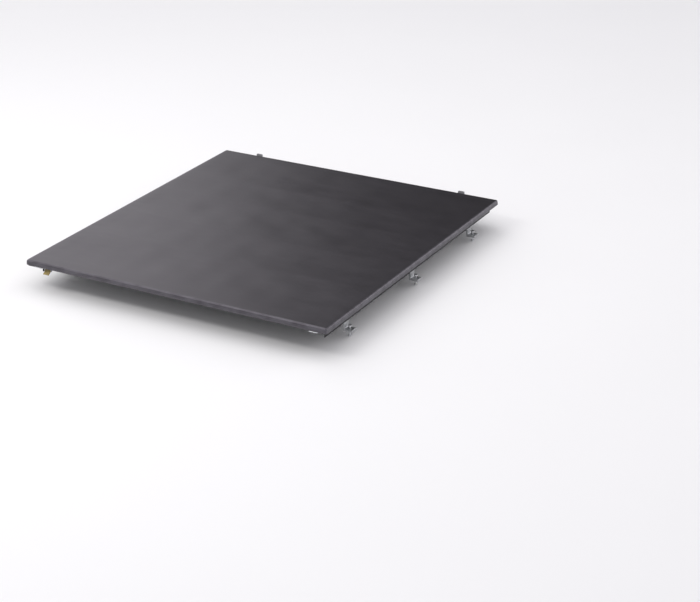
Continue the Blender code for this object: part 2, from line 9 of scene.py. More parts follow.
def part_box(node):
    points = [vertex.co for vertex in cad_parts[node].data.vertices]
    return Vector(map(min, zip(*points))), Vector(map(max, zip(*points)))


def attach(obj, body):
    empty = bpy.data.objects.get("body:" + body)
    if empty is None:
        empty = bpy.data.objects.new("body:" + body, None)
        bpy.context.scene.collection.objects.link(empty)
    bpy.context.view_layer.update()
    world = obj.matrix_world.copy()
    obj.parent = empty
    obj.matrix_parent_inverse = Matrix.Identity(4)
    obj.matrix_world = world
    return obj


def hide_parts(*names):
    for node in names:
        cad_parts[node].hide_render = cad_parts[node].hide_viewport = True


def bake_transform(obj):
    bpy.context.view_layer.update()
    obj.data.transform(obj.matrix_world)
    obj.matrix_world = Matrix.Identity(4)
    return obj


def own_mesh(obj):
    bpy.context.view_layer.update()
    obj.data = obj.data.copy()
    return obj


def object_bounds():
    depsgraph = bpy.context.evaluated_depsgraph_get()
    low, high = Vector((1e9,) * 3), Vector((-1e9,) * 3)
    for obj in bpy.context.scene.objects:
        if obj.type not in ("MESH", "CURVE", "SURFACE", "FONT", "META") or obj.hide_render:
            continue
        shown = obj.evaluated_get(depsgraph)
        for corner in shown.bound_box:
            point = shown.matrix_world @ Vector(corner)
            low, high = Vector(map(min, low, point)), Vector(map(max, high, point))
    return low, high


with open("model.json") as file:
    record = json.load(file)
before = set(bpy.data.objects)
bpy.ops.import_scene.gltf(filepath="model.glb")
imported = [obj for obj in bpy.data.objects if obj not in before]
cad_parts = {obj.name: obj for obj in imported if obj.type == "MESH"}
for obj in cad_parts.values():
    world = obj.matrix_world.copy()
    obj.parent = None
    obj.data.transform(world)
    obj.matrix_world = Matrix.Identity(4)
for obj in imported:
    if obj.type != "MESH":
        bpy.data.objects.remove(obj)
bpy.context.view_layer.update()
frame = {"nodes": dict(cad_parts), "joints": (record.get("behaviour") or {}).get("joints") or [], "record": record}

# The soft roll-up cover's looks, in the frame of the CAD: +X is the truck's right, +Y points
# towards the cab, +Z is up, and lengths are in metres.

# ---------------------------------------------------------------- sizes from the frame
HINGES = [j["pos_m"][1] for j in frame["joints"] if j["name"].startswith("deck_roll_")]
STRIPS = len(HINGES)
HALF_WIDTH, FRONT_Y, DECK_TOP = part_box("deck_front")[1]
REAR_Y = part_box(f"deck_strip_{STRIPS:02d}")[0].y
RAIL_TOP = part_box("side_rail_right")[1].z
RAIL_INNER_X = 0.762
BOWS = {name: body for body, names in frame["record"]["behaviour"]["bodies"].items()
        for name in names if name.startswith("bow_")}

# ---------------------------------------------------------------- the vinyl sheet
VINYL = 0.0010             # thickness
SHOULDER = 0.0105          # radius where the top turns down into the skirt
SKIRT = 0.0245             # depth of the turned-down edge below the top
HEM_DEPTH = 0.0085         # the doubled part at the bottom of the skirt
HEM_STEP = 0.0007          # how far the doubled part stands out
LIP_ROOM = 0.0025          # the rear lip hangs this far behind the strip, clear of the latch housings
SHOULDER_STEPS = 7
CORNER_STEPS = 8
GRID_X = 0.0145            # the widest spacing of the sheet's grid
GRID_Y = 0.0090
CLEARANCE = 0.0004         # the sheet's top lies this far below the CAD deck's
SAG = 0.0012               # depth of the sag over a span of SAG_SPAN
SAG_SPAN = 0.33
CROWN = 0.00016            # how far a bow lifts the vinyl, where it shows most
RIPPLE = 0.00010
PUCKER = 0.00012           # small folds where the vinyl is pulled over the rails
STITCH_PITCH = 0.0060
STITCH_LENGTH = 0.0042
STITCH_RADIUS = 0.00042
TAPE_WIDTH = 0.0245        # hook-and-loop tape along the rails
TAPE_OUTER_X = 0.8040
TAPE_FRONT_GAP = 0.012     # the tape stops this far short of the rail's front end
LOOP_THICKNESS = 0.0009
HOOK_THICKNESS = 0.00035

# ---------------------------------------------------------------- camera
AZIMUTH = math.radians(29.99)
ELEVATION = math.radians(24.54)
ROLL = math.radians(-0.94)
CAMERA_PLACE = Vector((4.331, -6.749, 3.296))
LENS = 92.3

# ---------------------------------------------------------------- floor
FLOOR_GAP = 0.001
FLOOR_HALF = 40.0

rng = np.random.default_rng(7)


# ---------------------------------------------------------------- node helpers
def node(tree, kind, settings=None, **inputs):
    """A shader node; inputs are values or the sockets to link, by socket name."""
    made = tree.nodes.new("ShaderNode" + kind)
    for key, value in (settings or {}).items():
        setattr(made, key, value)
    for key, value in inputs.items():
        socket = made.inputs[key.replace("_", " ")]
        if isinstance(value, bpy.types.NodeSocket):
            tree.links.new(value, socket)
        else:
            socket.default_value = value
    return made


def math_node(tree, operation, first, second=None):
    made = tree.nodes.new("ShaderNodeMath")
    made.operation = operation
    for socket, value in zip(made.inputs, (first, second)):
        if isinstance(value, bpy.types.NodeSocket):
            tree.links.new(value, socket)
        elif value is not None:
            socket.default_value = value
    return made.outputs[0]


def spread(tree, value, low, high, start=0.0, end=1.0, smooth=False):
    """value from start to end, turned into low to high."""
    made = tree.nodes.new("ShaderNodeMapRange")
    made.interpolation_type = "SMOOTHSTEP" if smooth else "LINEAR"
    tree.links.new(value, made.inputs["Value"])
    made.inputs["From Min"].default_value = start
    made.inputs["From Max"].default_value = end
    made.inputs["To Min"].default_value = low
    made.inputs["To Max"].default_value = high
    return made.outputs["Result"]


def noise(tree, place, scale, detail=3.0, roughness=0.5, stretch=(1, 1, 1)):
    mapping = node(tree, "Mapping", Vector=place, Scale=stretch)
    made = node(tree, "TexNoise", Vector=mapping.outputs[0], Scale=scale, Detail=detail,
                Roughness=roughness)
    return made.outputs["Fac"]


def cells(tree, place, scale, feature="F1", randomness=1.0):
    made = node(tree, "TexVoronoi", {"feature": feature}, Vector=place, Scale=scale,
                Randomness=randomness)
    return made.outputs["Distance"]


def blend_colours(tree, amount, first, second):
    made = tree.nodes.new("ShaderNodeMix")
    made.data_type = "RGBA"
    tree.links.new(amount, made.inputs[0])
    for socket, colour in ((made.inputs[6], first), (made.inputs[7], second)):
        if isinstance(colour, bpy.types.NodeSocket):
            tree.links.new(colour, socket)
        else:
            socket.default_value = (*colour, 1.0)
    return made.outputs[2]


def bump(tree, height, distance, strength=1.0, normal=None):
    made = node(tree, "Bump", Height=height, Distance=distance, Strength=strength)
    if normal is not None:
        tree.links.new(normal, made.inputs["Normal"])
    return made.outputs[0]


def waves(tree, place, direction, scale, distortion, detail=None):
    made = node(tree, "TexWave", {"bands_direction": direction}, Vector=place, Scale=scale,
                Distortion=distortion)
    if detail is not None:
        made.inputs["Detail"].default_value = detail
    return made.outputs["Fac"]


def start_material(name, metallic=0.0, layer=None):
    """A material, its tree, its shader and the place that its textures read, in metres."""
    material = bpy.data.materials.new(name)
    material.use_nodes = True
    tree = material.node_tree
    shader = tree.nodes["Principled BSDF"]
    shader.inputs["Metallic"].default_value = metallic
    if layer:
        place = node(tree, "UVMap", {"uv_map": layer}).outputs[0]
    else:
        place = node(tree, "TexCoord").outputs["Object"]
    return material, tree, shader, place


def feed(tree, shader, **sockets):
    for key, value in sockets.items():
        tree.links.new(value, shader.inputs[key.replace("_", " ")])


def edge_mask(tree, radius):
    """1 at sharp edges, 0 on flat faces, and the rounded normal that goes with it."""
    rounded = node(tree, "Bevel", {"samples": 6}, Radius=radius).outputs[0]
    flat = node(tree, "NewGeometry").outputs["Normal"]
    made = tree.nodes.new("ShaderNodeVectorMath")
    made.operation = "DOT_PRODUCT"
    tree.links.new(rounded, made.inputs[0])
    tree.links.new(flat, made.inputs[1])
    return spread(tree, made.outputs["Value"], 1.0, 0.0, 0.80, 0.995), rounded


# ---------------------------------------------------------------- materials
def painted_rim_sheen_mask(tree, place):
    """1 where the vinyl turns down over its edges, where a painted highlight and dust pale it; 0 on the top."""
    parts = node(tree, "SeparateXYZ", Vector=place)
    middle_y = (FRONT_Y + REAR_Y) / 2
    flat_x = HALF_WIDTH - HEM_STEP - SHOULDER
    flat_y = (FRONT_Y - REAR_Y) / 2 - HEM_STEP - SHOULDER
    beyond_x = math_node(tree, "SUBTRACT", math_node(tree, "ABSOLUTE", parts.outputs["X"]), flat_x)
    from_middle = math_node(tree, "SUBTRACT", parts.outputs["Y"], middle_y)
    beyond_y = math_node(tree, "SUBTRACT", math_node(tree, "ABSOLUTE", from_middle), flat_y)
    beyond = math_node(tree, "MAXIMUM", beyond_x, beyond_y)
    return spread(tree, beyond, 0.0, 1.0, -0.003, 0.008, True)


def vinyl_material():
    """Coated vinyl: a fine pebbled grain, a satin sheen, faint dust and a painted highlight along the turned-down
    rim.
    """
    material, tree, shader, place = start_material("vinyl_top", layer="grain")
    grain = cells(tree, place, 620.0, "SMOOTH_F1")
    fine = noise(tree, place, 1500.0, 2.0)
    mottle = noise(tree, place, 15.0, 2.5, 0.5, (0.42, 1.0, 1.0))
    broad = noise(tree, place, 2.2, 3.0, 0.5)
    dust = noise(tree, place, 30.0, 3.0, 0.5, (0.5, 1.0, 1.0))
    slow = noise(tree, place, 12.0, 1.0, 0.4, (0.5, 1.0, 1.0))
    tone = blend_colours(tree, spread(tree, mottle, 0.0, 1.0, 0.2, 0.8), (0.0140, 0.0132, 0.0152),
                         (0.0220, 0.0207, 0.0238))
    tone = blend_colours(tree, spread(tree, dust, 0.0, 0.25, 0.50, 0.80), tone,
                         (0.040, 0.038, 0.041))
    tone = blend_colours(tree, spread(tree, grain, 0.0, 0.20, 0.0, 0.9), tone,
                         (0.026, 0.025, 0.028))
    # The turned-down rim is painted paler. This is a painted highlight standing in for the sheen the edge catches,
    # broken up by the dust noise.
    paled_edges = math_node(tree, "MULTIPLY", painted_rim_sheen_mask(tree, place),
                       spread(tree, dust, 0.45, 1.0, 0.35, 0.60))
    tone = blend_colours(tree, paled_edges, tone, (0.080, 0.079, 0.088))
    sheen = math_node(tree, "ADD", spread(tree, mottle, -0.016, 0.016, 0.2, 0.8),
                      spread(tree, broad, 0.305, 0.325, 0.3, 0.7))
    relief = math_node(tree, "ADD", grain, math_node(tree, "MULTIPLY", fine, 0.35))
    soft = bump(tree, slow, 0.00035)
    normal = bump(tree, relief, 0.00004, 0.35, soft)
    shader.inputs["IOR"].default_value = 1.50
    shader.inputs["Specular Tint"].default_value = (0.97, 0.86, 1.0, 1.0)
    feed(tree, shader, Base_Color=tone, Roughness=sheen, Normal=normal)
    return material


def backing_material():
    """The vinyl's knitted polyester backing: rows of small loops."""
    material, tree, shader, place = start_material("knit_backing", layer="grain")
    weave = math_node(tree, "MULTIPLY", waves(tree, place, "X", 115.0, 0.6, 1.0),
                      waves(tree, place, "Y", 150.0, 0.6, 1.0))
    fuzz = noise(tree, place, 400.0, 4.0, 0.7)
    stain = noise(tree, place, 5.0, 4.0, 0.6)
    tone = blend_colours(tree, weave, (0.028, 0.028, 0.030), (0.070, 0.070, 0.073))
    tone = blend_colours(tree, spread(tree, stain, 0.0, 0.5, 0.45, 0.75), tone,
                         (0.090, 0.088, 0.084))
    relief = math_node(tree, "ADD", weave, math_node(tree, "MULTIPLY", fuzz, 0.5))
    shader.inputs["Sheen Weight"].default_value = 0.25
    feed(tree, shader, Base_Color=tone, Roughness=spread(tree, fuzz, 0.80, 0.95),
         Normal=bump(tree, relief, 0.00025, 0.7))
    return material


def thread_material():
    """Bonded polyester thread, with its twist."""
    material, tree, shader, place = start_material("thread", layer="grain")
    twist = waves(tree, place, "DIAGONAL", 900.0, 0.3)
    tone = blend_colours(tree, twist, (0.055, 0.055, 0.058), (0.14, 0.14, 0.145))
    feed(tree, shader, Base_Color=tone, Roughness=spread(tree, twist, 0.5, 0.65),
         Normal=bump(tree, twist, 0.00008))
    return material


def tape_material(name, layer=None):
    """Hook-and-loop tape: a dense field of small hooks or loops."""
    material, tree, shader, place = start_material(name, layer=layer)
    hooks = cells(tree, place, 900.0, randomness=0.55)
    fuzz = noise(tree, place, 700.0, 4.0, 0.7)
    tone = blend_colours(tree, spread(tree, hooks, 0.0, 1.0, 0.1, 0.7), (0.060, 0.060, 0.062),
                         (0.012, 0.012, 0.013))
    shader.inputs["Sheen Weight"].default_value = 0.3
    feed(tree, shader, Base_Color=tone, Roughness=spread(tree, fuzz, 0.7, 0.95),
         Normal=bump(tree, math_node(tree, "SUBTRACT", fuzz, hooks), 0.0005, 0.8))
    return material


def extrusion_material(name, dark, light, roughness, metallic, stretch, wear):
    """An extruded aluminium surface: long die lines, handling marks and worn edges."""
    material, tree, shader, place = start_material(name, metallic)
    lines = noise(tree, place, 900.0, 3.0, 0.6, stretch)
    marks = noise(tree, place, 30.0, 5.0, 0.65)
    edges, rounded = edge_mask(tree, 0.0009)
    tone = blend_colours(tree, spread(tree, lines, 0.0, 1.0, 0.3, 0.7), dark, light)
    tone = blend_colours(tree, spread(tree, marks, 0.0, 0.35, 0.50, 0.80), tone, wear)
    worn = math_node(tree, "MULTIPLY", edges, spread(tree, marks, 0.15, 0.9, 0.35, 0.65))
    tone = blend_colours(tree, worn, tone, wear)
    rough = math_node(tree, "ADD", spread(tree, lines, roughness - 0.05, roughness + 0.05),
                      spread(tree, marks, -0.05, 0.06, 0.3, 0.7))
    feed(tree, shader, Base_Color=tone, Roughness=rough,
         Normal=bump(tree, lines, 0.00003, 0.6, rounded))
    return material


def cast_material():
    """Tumbled die casting: orange-peel skin, dull with brighter edges."""
    material, tree, shader, place = start_material("cast_metal", 0.95)
    skin = noise(tree, place, 420.0, 5.0, 0.62)
    cloud = noise(tree, place, 35.0, 4.0, 0.6)
    edges, rounded = edge_mask(tree, 0.0014)
    tone = blend_colours(tree, spread(tree, cloud, 0.0, 1.0, 0.3, 0.7), (0.40, 0.41, 0.42),
                         (0.56, 0.57, 0.58))
    tone = blend_colours(tree, math_node(tree, "MULTIPLY", edges, 0.7), tone, (0.74, 0.75, 0.76))
    feed(tree, shader, Base_Color=tone, Roughness=spread(tree, cloud, 0.42, 0.60, 0.3, 0.7),
         Normal=bump(tree, skin, 0.00022, 0.6, rounded))
    return material


def plastic_material(name, dark, light, roughness, grain_scale):
    """Moulded plastic: a spark-eroded texture, scuffs and edges rubbed paler."""
    material, tree, shader, place = start_material(name)
    grain = noise(tree, place, grain_scale, 3.0, 0.6)
    scuff = noise(tree, place, 45.0, 6.0, 0.7, (1.0, 1.0, 2.5))
    edges, rounded = edge_mask(tree, 0.0010)
    tone = blend_colours(tree, spread(tree, grain, 0.0, 1.0, 0.3, 0.7), dark, light)
    paled_edges = math_node(tree, "MULTIPLY", edges, spread(tree, scuff, 0.0, 0.55, 0.35, 0.7))
    tone = blend_colours(tree, paled_edges, tone, tuple(min(1.0, 2.1 * c + 0.03) for c in light))
    rough = math_node(tree, "ADD", spread(tree, grain, roughness - 0.05, roughness + 0.07),
                      spread(tree, scuff, -0.08, 0.06, 0.35, 0.65))
    feed(tree, shader, Base_Color=tone, Roughness=rough,
         Normal=bump(tree, grain, 0.00010, 0.5, rounded))
    return material


def rubber_material():
    """Closed-cell sponge rubber: dull, with a skin of small pores."""
    material, tree, shader, place = start_material("sponge_rubber")
    pores = cells(tree, place, 700.0)
    bloom = noise(tree, place, 60.0, 5.0, 0.7)
    tone = blend_colours(tree, spread(tree, pores, 1.0, 0.0, 0.05, 0.5), (0.019, 0.019, 0.020),
                         (0.006, 0.006, 0.006))
    tone = blend_colours(tree, spread(tree, bloom, 0.0, 0.5, 0.5, 0.8), tone,
                         (0.045, 0.044, 0.043))
    feed(tree, shader, Base_Color=tone, Roughness=spread(tree, bloom, 0.80, 0.95),
         Normal=bump(tree, pores, 0.00025, 0.7))
    return material


def zinc_material(name, base, tint, other_tint, roughness):
    """Plated steel: passivation colours that drift over the part, and draw marks."""
    material, tree, shader, place = start_material(name, 1.0)
    drift = noise(tree, place, 60.0, 3.0, 0.6)
    drift_two = noise(tree, place, 95.0, 3.0, 0.6, (1.0, 1.4, 0.7))
    marks = noise(tree, place, 900.0, 3.0, 0.6, (0.15, 1.0, 1.0))
    edges, rounded = edge_mask(tree, 0.0007)
    tone = blend_colours(tree, spread(tree, drift, 0.0, 1.0, 0.35, 0.65), base, tint)
    tone = blend_colours(tree, spread(tree, drift_two, 0.0, 0.8, 0.50, 0.70), tone, other_tint)
    tone = blend_colours(tree, math_node(tree, "MULTIPLY", edges, 0.35), tone, (0.86, 0.86, 0.84))
    rough = math_node(tree, "ADD", spread(tree, marks, roughness - 0.05, roughness + 0.06),
                      spread(tree, drift, -0.04, 0.05, 0.3, 0.7))
    feed(tree, shader, Base_Color=tone, Roughness=rough,
         Normal=bump(tree, marks, 0.00004, 0.6, rounded))
    return material


def webbing_material():
    """Woven webbing: ribs across the strap and a herringbone of yarns along it."""
    material, tree, shader, place = start_material("webbing")
    weave = math_node(tree, "MULTIPLY", waves(tree, place, "Z", 260.0, 0.4, 1.0),
                      waves(tree, place, "X", 190.0, 0.6, 1.0))
    fuzz = noise(tree, place, 900.0, 4.0, 0.7)
    tone = blend_colours(tree, weave, (0.012, 0.012, 0.013), (0.055, 0.055, 0.058))
    shader.inputs["Sheen Weight"].default_value = 0.2
    feed(tree, shader, Base_Color=tone, Roughness=spread(tree, fuzz, 0.62, 0.85),
         Normal=bump(tree, math_node(tree, "ADD", weave, math_node(tree, "MULTIPLY", fuzz, 0.3)),
                     0.00035, 0.8))
    return material


def floor_material():
    """A plain pale floor with a faint unevenness."""
    material, tree, shader, place = start_material("pale_floor")
    cloud = noise(tree, place, 1.1, 3.0, 0.5)
    tone = blend_colours(tree, cloud, (0.885, 0.887, 0.890), (0.905, 0.907, 0.910))
    feed(tree, shader, Base_Color=tone, Roughness=spread(tree, cloud, 0.75, 0.85))
    return material


VINYL_TOP = vinyl_material()
BACKING = backing_material()
THREAD = thread_material()
LOOP_TAPE = tape_material("loop_tape", "grain")
HOOK_TAPE = tape_material("hook_tape")
FINISHES = {
    "deck_vinyl": VINYL_TOP,
    "rail_black": extrusion_material("black_anodised", (0.020, 0.020, 0.021),
                                     (0.034, 0.034, 0.036), 0.40, 0.75, (1.0, 0.02, 1.0),
                                     (0.11, 0.11, 0.115)),
    "bow_aluminium": extrusion_material("mill_aluminium", (0.50, 0.51, 0.52), (0.66, 0.67, 0.68),
                                        0.34, 1.0, (0.02, 1.0, 1.0), (0.80, 0.80, 0.81)),
    "cast_aluminium": cast_material(),
    "black_plastic": plastic_material("moulded_black", (0.018, 0.018, 0.019),
                                      (0.030, 0.030, 0.031), 0.48, 1300.0),
    "seal_rubber": rubber_material(),
    "bright_zinc": zinc_material("zinc_bright", (0.66, 0.67, 0.69), (0.76, 0.77, 0.80),
                                 (0.70, 0.72, 0.66), 0.30),
    "yellow_zinc": zinc_material("zinc_yellow", (0.215, 0.160, 0.060), (0.27, 0.215, 0.090),
                                 (0.25, 0.225, 0.165), 0.38),
    "spring_steel": zinc_material("wire_steel", (0.40, 0.41, 0.43), (0.50, 0.51, 0.53),
                                  (0.36, 0.35, 0.34), 0.28),
    "strap_webbing": webbing_material(),
    "buckle_plastic": plastic_material("moulded_grey", (0.27, 0.27, 0.28), (0.33, 0.33, 0.34),
                                       0.40, 1500.0),
}


def dress_cad_nodes():
    """Gives each CAD node the procedural finish of its record slot."""
    slots = {row["node"]: row["material_slot"] for row in frame["record"]["subparts"]}
    for name, obj in frame["nodes"].items():
        for place in obj.material_slots:
            place.material = FINISHES[slots[name]]
        if not obj.material_slots:
            obj.data.materials.append(FINISHES[slots[name]])


# ---------------------------------------------------------------- mesh helper
def new_object(name, points, faces, materials, face_materials=None, smooth=True, uv=None,
               loop_normals=None):
    mesh = bpy.data.meshes.new(name)
    mesh.from_pydata([tuple(p) for p in points], [], [tuple(f) for f in faces])
    for material in materials:
        mesh.materials.append(material)
    if face_materials is not None:
        mesh.polygons.foreach_set("material_index", np.asarray(face_materials, np.int32))
    mesh.polygons.foreach_set("use_smooth", np.full(len(mesh.polygons), smooth))
    if uv is not None:
        layer = mesh.uv_layers.new(name="grain")
        corners = np.empty(len(mesh.loops), np.int32)
        mesh.loops.foreach_get("vertex_index", corners)
        layer.data.foreach_set("uv", np.asarray(uv, np.float32)[corners].ravel())
    mesh.update()
    if loop_normals is not None:
        mesh.normals_split_custom_set([tuple(n) for n in loop_normals])
    obj = bpy.data.objects.new(name, mesh)
    bpy.context.scene.collection.objects.link(obj)
    return obj


# ---------------------------------------------------------------- the vinyl's shape
def supports():
    """The lines across the bed that hold the vinyl up: rear bar, bows and header."""
    bows = sorted((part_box(n)[0].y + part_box(n)[1].y) / 2 for n in BOWS)
    return [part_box("rear_bar")[1].y, *bows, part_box("front_header")[0].y]


SUPPORTS = supports()
WAVES = [(rng.uniform(0, math.tau), rng.uniform(0, math.tau), rng.uniform(0.16, 0.60))
         for _ in range(16)]


def top_height(x, y):
    """The vinyl's top: taut over its supports, with a little sag and slow ripples between."""
    x, y = np.broadcast_arrays(np.asarray(x, float), np.asarray(y, float))
    free = np.clip(1.0 - (np.abs(x) / RAIL_INNER_X) ** 8, 0.0, 1.0)
    sag = np.zeros(x.shape)
    for low, high in zip(SUPPORTS, SUPPORTS[1:]):
        t = (y - low) / (high - low)
        inside = (t > 0) & (t < 1)
        depth = SAG * (high - low) / SAG_SPAN
        sag += np.where(inside, depth * (4 * np.clip(t * (1 - t), 0, 1)) ** 1.6, 0.0)
    # Each bow lifts the vinyl a little, and the second from the rear shows most, on the left.
    crown = sum(np.exp(-((y - s) / 0.013) ** 2) for s in SUPPORTS[1:-1]) * 0.35
    crown += np.exp(-((y - SUPPORTS[2]) / 0.011) ** 2) * np.clip((0.05 - x) / 0.5, 0.0, 1.0)
    ripple = np.zeros(x.shape)
    for turn, phase, length in WAVES:
        ripple += np.sin(math.tau * (x * math.cos(turn) + y * math.sin(turn)) / length + phase)
    between = np.clip(sag / SAG, 0.0, 1.0)
    edge_room = HALF_WIDTH - np.abs(x)
    pucker = (np.sin(y / 0.0105 + 1.6 * np.sin(y / 0.071))
              * np.exp(-((edge_room - 0.055) / 0.020) ** 2))
    return (DECK_TOP - CLEARANCE - free * sag + free * CROWN * crown
            + free * (0.25 + 0.75 * between) * RIPPLE * ripple + PUCKER * pucker)


def skirt_wander(along, depth):
    """How far the skirt wanders outwards, growing towards its hem."""
    wave = np.sin(along / 0.031 + 2.0 * np.sin(along / 0.17)) + 0.6 * np.sin(along / 0.0117)
    share = np.clip(depth / SKIRT, 0.0, 1.0)
    return 0.00022 * wave * share - 0.00040 * share


def skirt_profile():
    """The turned-down edge's section, from the top's edge outside to the top's edge inside.

    Each row is how far out, how far down, and the length along the sheet. The second half
    mirrors the first point for point, one thickness further in.
    """
    straight = SKIRT - HEM_DEPTH
    angles = [math.pi / 2 * i / SHOULDER_STEPS for i in range(SHOULDER_STEPS + 1)]
    outer = [(SHOULDER * math.sin(a), SHOULDER * (1 - math.cos(a)), SHOULDER * a) for a in angles]
    reach = outer[-1][2]
    for depth, step in ((straight - 0.0005, 0.0), (straight + 0.0002, HEM_STEP),
                        (straight + 0.0012, HEM_STEP), (SKIRT - 0.0022, HEM_STEP),
                        (SKIRT - 0.0005, 0.8 * HEM_STEP), (SKIRT, 0.3 * HEM_STEP)):
        outer.append((SHOULDER + step, depth, reach + depth - SHOULDER))
    inner_radius = SHOULDER - VINYL
    inner = [(inner_radius * math.sin(a), VINYL + inner_radius * (1 - math.cos(a)), SHOULDER * a)
             for a in angles]
    for depth, step in ((straight - 0.0005, 0.0), (straight + 0.0002, 0.0),
                        (straight + 0.0012, 0.0), (SKIRT - 0.0022, 0.0), (SKIRT - 0.0005, 0.0001),
                        (SKIRT, 0.0006)):
        inner.append((SHOULDER - VINYL + step, depth, reach + depth - SHOULDER))
    return np.array(outer + inner[::-1])


PROFILE = skirt_profile()
OUTER_ROWS = len(PROFILE) // 2
EDGE_X = HALF_WIDTH - HEM_STEP - SHOULDER
EDGE_FRONT = FRONT_Y - HEM_STEP - SHOULDER
EDGE_REAR = REAR_Y - LIP_ROOM + HEM_STEP + SHOULDER


def middles():
    """Where the sheet is divided: in the middle of each strip, and just ahead of the first."""
    ends = HINGES[1:] + [REAR_Y]
    centres = [(a + b) / 2 for a, b in zip(HINGES, ends)]
    centres[-1] = SUPPORTS[0] + 0.004
    return [HINGES[0] + (HINGES[0] - HINGES[1]) / 2, *centres]


CUTS = middles()


def spaced(low, high, step):
    count = max(1, math.ceil((high - low) / step))
    return list(np.linspace(low, high, count + 1)[:-1])


def grid_lines():
    xs = spaced(-EDGE_X, EDGE_X, GRID_X) + [EDGE_X]
    marks = [EDGE_REAR, *sorted(CUTS), EDGE_FRONT]
    ys = []
    for low, high in zip(marks, marks[1:]):
        ys += spaced(low, high, GRID_Y)
    return np.array(xs), np.array(ys + [EDGE_FRONT])


def border(xs, ys):
    """The sheet's border as (x, y, outward x, outward y, grid column, grid row), anticlockwise."""
    last_x, last_y = len(xs) - 1, len(ys) - 1
    runs = [
        ([(i, 0) for i in range(last_x + 1)], -math.pi / 2),
        ([(last_x, j) for j in range(last_y + 1)], 0.0),
        ([(i, last_y) for i in range(last_x, -1, -1)], math.pi / 2),
        ([(0, j) for j in range(last_y, -1, -1)], math.pi),
    ]
    rows = []
    for points, heading in runs:
        for i, j in points:
            rows.append((xs[i], ys[j], math.cos(heading), math.sin(heading), i, j))
        i, j = points[-1]
        for step in range(1, CORNER_STEPS):
            turn = heading + math.pi / 2 * step / CORNER_STEPS
            rows.append((xs[i], ys[j], math.cos(turn), math.sin(turn), i, j))
    return rows


def whole_sheet():
    """The full sheet's points, faces, materials, texture places and each face's slice."""
    xs, ys = grid_lines()
    columns, rows = len(xs), len(ys)
    grid_x, grid_y = np.meshgrid(xs, ys, indexing="ij")
    heights = top_height(grid_x, grid_y)
    points = [np.stack([grid_x, grid_y, heights], -1).reshape(-1, 3),
              np.stack([grid_x, grid_y, heights - VINYL], -1).reshape(-1, 3)]
    places = [points[0][:, :2], points[1][:, :2]]
    top = np.arange(columns * rows).reshape(columns, rows)
    under = top + columns * rows
    slice_of_row = np.searchsorted(-np.array(CUTS), -(ys[:-1] + ys[1:]) / 2)

    faces, kinds, slices = [], [], []
    for i in range(columns - 1):
        for j in range(rows - 1):
            faces.append((top[i, j], top[i + 1, j], top[i + 1, j + 1], top[i, j + 1]))
            faces.append((under[i, j + 1], under[i + 1, j + 1], under[i + 1, j], under[i, j]))
            kinds += [0, 1]
            slices += [slice_of_row[j]] * 2

    edge = border(xs, ys)
    base = np.array([row[:4] for row in edge])
    along = base[:, 0] * np.abs(base[:, 3]) + base[:, 1] * np.abs(base[:, 2])
    edge_height = top_height(base[:, 0], base[:, 1])
    inner_profile = PROFILE[1:-1]
    ring_points = []
    ring_places = []
    for out, down, reach in inner_profile:
        straight = np.maximum(np.abs(base[:, 2]), np.abs(base[:, 3])) > 0.9999
        reach_out = out + np.where(straight, skirt_wander(along, np.full(len(base), down)), 0.0)
        ring_points.append(np.stack([base[:, 0] + base[:, 2] * reach_out,
                                     base[:, 1] + base[:, 3] * reach_out,
                                     edge_height - down], -1))
        ring_places.append(base[:, :2] + base[:, 2:] * reach)
    first = 2 * columns * rows
    points += ring_points
    places += ring_places
    count = len(edge)
    ring = first + np.arange(len(inner_profile) * count).reshape(len(inner_profile), count)
    outer_start = np.array([top[row[4], row[5]] for row in edge])
    inner_end = np.array([under[row[4], row[5]] for row in edge])
    lines = np.vstack([outer_start, ring, inner_end])

    cut_rows = {int(np.argmin(np.abs(ys - c))): n for n, c in enumerate(CUTS)}
    for p in range(count):
        q = (p + 1) % count
        rows_here = (edge[p][5], edge[q][5])
        middle = (ys[rows_here[0]] + ys[rows_here[1]]) / 2
        slice_here = int(np.searchsorted(-np.array(CUTS), -middle))
        for k in range(len(lines) - 1):
            a, b, c, d = lines[k, p], lines[k + 1, p], lines[k + 1, q], lines[k, q]
            face = [v for n, v in enumerate((a, b, c, d)) if v not in (a, b, c, d)[:n]]
            if len(face) > 2:
                faces.append(tuple(face))
                kinds.append(0 if k < OUTER_ROWS + 2 else 1)
                slices.append(slice_here)
    points = np.vstack(points)
    places = np.vstack(places)
    sections = {}
    side_lines = {}
    for p, row in enumerate(edge):
        if abs(row[2]) > 0.9999 and row[5] in cut_rows:
            side_lines.setdefault(row[5], {})[row[2] > 0] = lines[:, p]
    for j, cut in cut_rows.items():
        left, right = side_lines[j][False], side_lines[j][True]
        outer = list(left[1:OUTER_ROWS][::-1]) + list(top[:, j]) + list(right[1:OUTER_ROWS])
        inner = list(left[OUTER_ROWS:-1]) + list(under[:, j]) + list(right[OUTER_ROWS:-1][::-1])
        sections[cut] = (outer, inner)
    return points, faces, np.array(kinds), np.array(slices), places, sections


def face_normals(points, faces):
    normals = np.zeros((len(faces), 3))
    for n, face in enumerate(faces):
        p = points[list(face)]
        if len(face) == 4:
            normals[n] = np.cross(p[2] - p[0], p[3] - p[1])
        else:
            normals[n] = np.cross(p[1] - p[0], p[2] - p[0])
    return normals


def smooth_normals(points, faces, flat):
    """Each point's normal on the whole sheet, so that the slices' seams don't show."""
    total = np.zeros(points.shape)
    for face, normal in zip(faces, flat):
        for v in face:
            total[v] += normal
    length = np.linalg.norm(total, axis=1, keepdims=True)
    return total / np.maximum(length, 1e-12)


